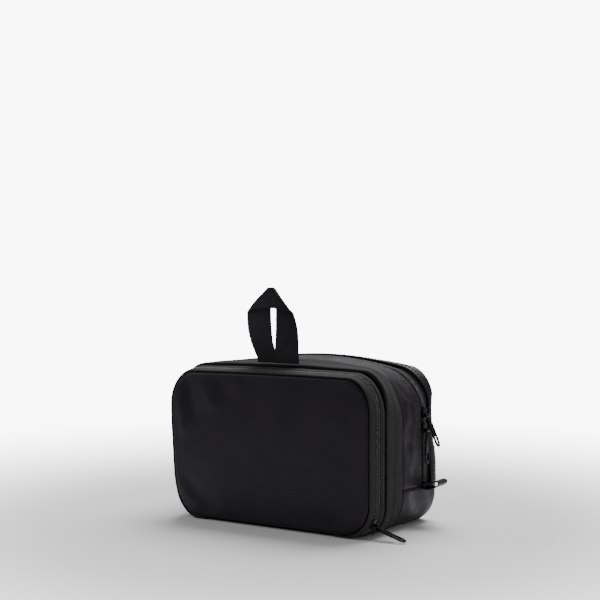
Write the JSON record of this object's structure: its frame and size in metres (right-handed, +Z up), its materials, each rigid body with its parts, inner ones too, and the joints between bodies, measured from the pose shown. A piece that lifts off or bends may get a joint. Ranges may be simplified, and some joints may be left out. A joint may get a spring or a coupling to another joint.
{
  "type": "hanging toiletry bag",
  "caption": "Boxy zipped travel toiletry bag with a fold-down front flap, a U-zipped main compartment and a pointed webbing loop to hang it by.",
  "frame": {"origin": "middle of the base under the body, on the surface the bag stands on", "axes": "+X across the bag to its right as seen from the front, +Y from the front flap to the back, +Z up"},
  "size_m": [0.2859, 0.13, 0.2335],
  "materials": {
    "nylon": "fine black twill nylon, slight sheen",
    "trim_band": "matte charcoal herringbone webbing band",
    "webbing": "matte black twill webbing",
    "zip_tape": "woven charcoal zip tape",
    "zip_coil": "grey-black nylon coil",
    "lining": "plain dark grey lining",
    "mesh": "black polyester mesh",
    "binding": "black elastic binding",
    "foam": "grey foam padding",
    "board": "black plastic base board",
    "gunmetal": "glossy black-nickel plating"
  },
  "bodies": {
    "bag_body": {"front_zip_body_tape": "zip_tape", "front_zip_body_coil": "zip_coil", "front_zip_stops": "gunmetal", "flap_hinge_strip": "nylon", "front_gusset": "nylon", "trim_band": "trim_band", "divider_panel": "lining", "divider_lining": "lining", "divider_pocket": "mesh", "divider_pocket_binding": "binding", "main_gusset": "nylon", "base_gusset": "nylon", "main_lining": "lining", "base_board": "board", "main_zip_front_tape": "zip_tape", "main_zip_front_coil": "zip_coil", "main_zip_stops": "gunmetal", "back_panel_lower": "nylon", "back_foam_lower": "foam", "back_lining_lower": "lining", "end_tab_right": "nylon", "end_tab_left": "nylon", "hang_loop_anchor": "webbing"},
    "front_flap": {"front_panel_skin": "nylon", "front_panel_foam": "foam", "front_panel_lining": "lining", "flap_mesh_pocket": "mesh", "flap_pocket_elastic": "binding", "front_zip_flap_tape": "zip_tape", "front_zip_flap_coil": "zip_coil"},
    "rear_shell": {"main_zip_rear_tape": "zip_tape", "main_zip_rear_coil": "zip_coil", "rear_gusset": "nylon", "back_panel_upper": "nylon", "back_foam_upper": "foam", "back_lining_upper": "lining"},
    "upper_slider": {"slider_upper": "gunmetal"},
    "upper_puller": {"puller_upper": "gunmetal"},
    "lower_slider": {"slider_lower": "gunmetal"},
    "lower_puller": {"puller_lower": "gunmetal"},
    "front_slider": {"slider_front": "gunmetal"},
    "front_puller": {"puller_front": "gunmetal"},
    "hang_loop": {"hang_loop_legs": "webbing", "hang_loop_hood": "webbing"}
  },
  "joints": [
    {"name": "flap_fold", "type": "hinge", "parent": "bag_body", "child": "front_flap", "pos_m": [0, -0.06, 0.003], "axis": [1, 0, 0], "range_deg": [0, 90]},
    {"name": "rear_shell_fold", "type": "hinge", "parent": "bag_body", "child": "rear_shell", "pos_m": [0, 0.065, 0.04015], "axis": [-1, 0, 0], "range_deg": [0, 60]},
    {"name": "upper_slider_run", "type": "slide", "parent": "bag_body", "child": "upper_slider", "axis": [0, 0, 1], "range_m": [0, 0.01]},
    {"name": "lower_slider_run", "type": "slide", "parent": "bag_body", "child": "lower_slider", "axis": [0, 0, -1], "range_m": [0, 0.018]},
    {"name": "front_slider_run", "type": "hinge", "parent": "bag_body", "child": "front_slider", "pos_m": [0.091, -0.053, 0.0265], "axis": [0, -1, 0], "range_deg": [0, 26]},
    {"name": "upper_puller_swing", "type": "hinge", "parent": "upper_slider", "child": "upper_puller", "pos_m": [0.12505, 0.036, 0.10843], "axis": [0, -1, 0], "range_deg": [0, 130]},
    {"name": "lower_puller_swing", "type": "hinge", "parent": "lower_slider", "child": "lower_puller", "pos_m": [0.12505, 0.036, 0.09343], "axis": [0, -1, 0], "range_deg": [0, 24]},
    {"name": "front_puller_swing", "type": "hinge", "parent": "front_slider", "child": "front_puller", "pos_m": [0.11597, -0.053, 0.01143], "axis": [0, -1, 0], "range_deg": [0, 50]},
    {"name": "loop_fold", "type": "hinge", "parent": "bag_body", "child": "hang_loop", "pos_m": [-0.006, -0.0399, 0.1615], "axis": [1, 0, 0], "range_deg": [-28, 90]}
  ]
}
